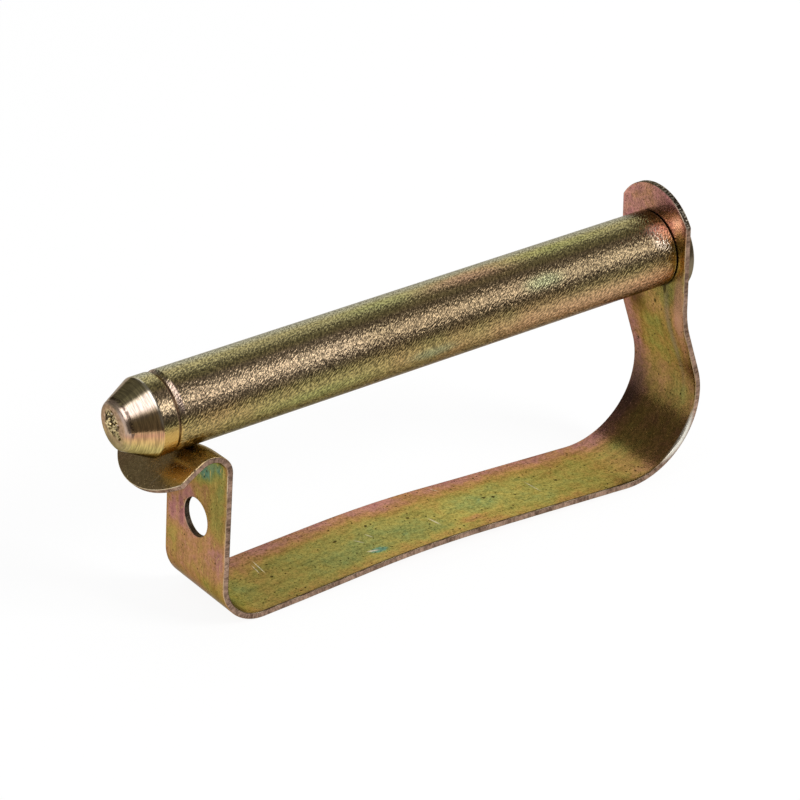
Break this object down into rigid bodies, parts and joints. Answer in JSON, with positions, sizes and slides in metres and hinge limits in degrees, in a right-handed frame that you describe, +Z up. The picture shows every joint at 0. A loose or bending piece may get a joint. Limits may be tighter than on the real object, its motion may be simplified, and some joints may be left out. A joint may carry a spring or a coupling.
{
  "type": "lynch pin",
  "caption": "Turned steel pin with a coned tip and a flat spring strap riveted to its head, which loops under the pin and snaps up beneath its tip.",
  "frame": {"origin": "on the pin's axis at its shoulder, where it meets the inner face of the strap's tab", "axes": "-X along the pin towards its tip, Y across the strap, +Z up, with the strap's loop below the pin"},
  "size_m": [0.0846, 0.0128, 0.0389],
  "materials": {
    "pin_finish": "grained steel with yellow passivated zinc plating",
    "strap_finish": "satin spring strip with iridescent yellow passivated zinc plating"
  },
  "bodies": {
    "strap": {"strap": "strap_finish"},
    "pin": {"pin": "pin_finish"}
  },
  "joints": [
    {"name": "strap_flex", "type": "hinge", "parent": "strap", "child": "pin", "pos_m": [-0.00755, 0, -0.01913], "axis": [0, 1, 0], "range_deg": [0, 12], "stiffness_Nm_per_rad": 3.2, "springref_deg": -2.86, "deforming": ["strap"]}
  ]
}
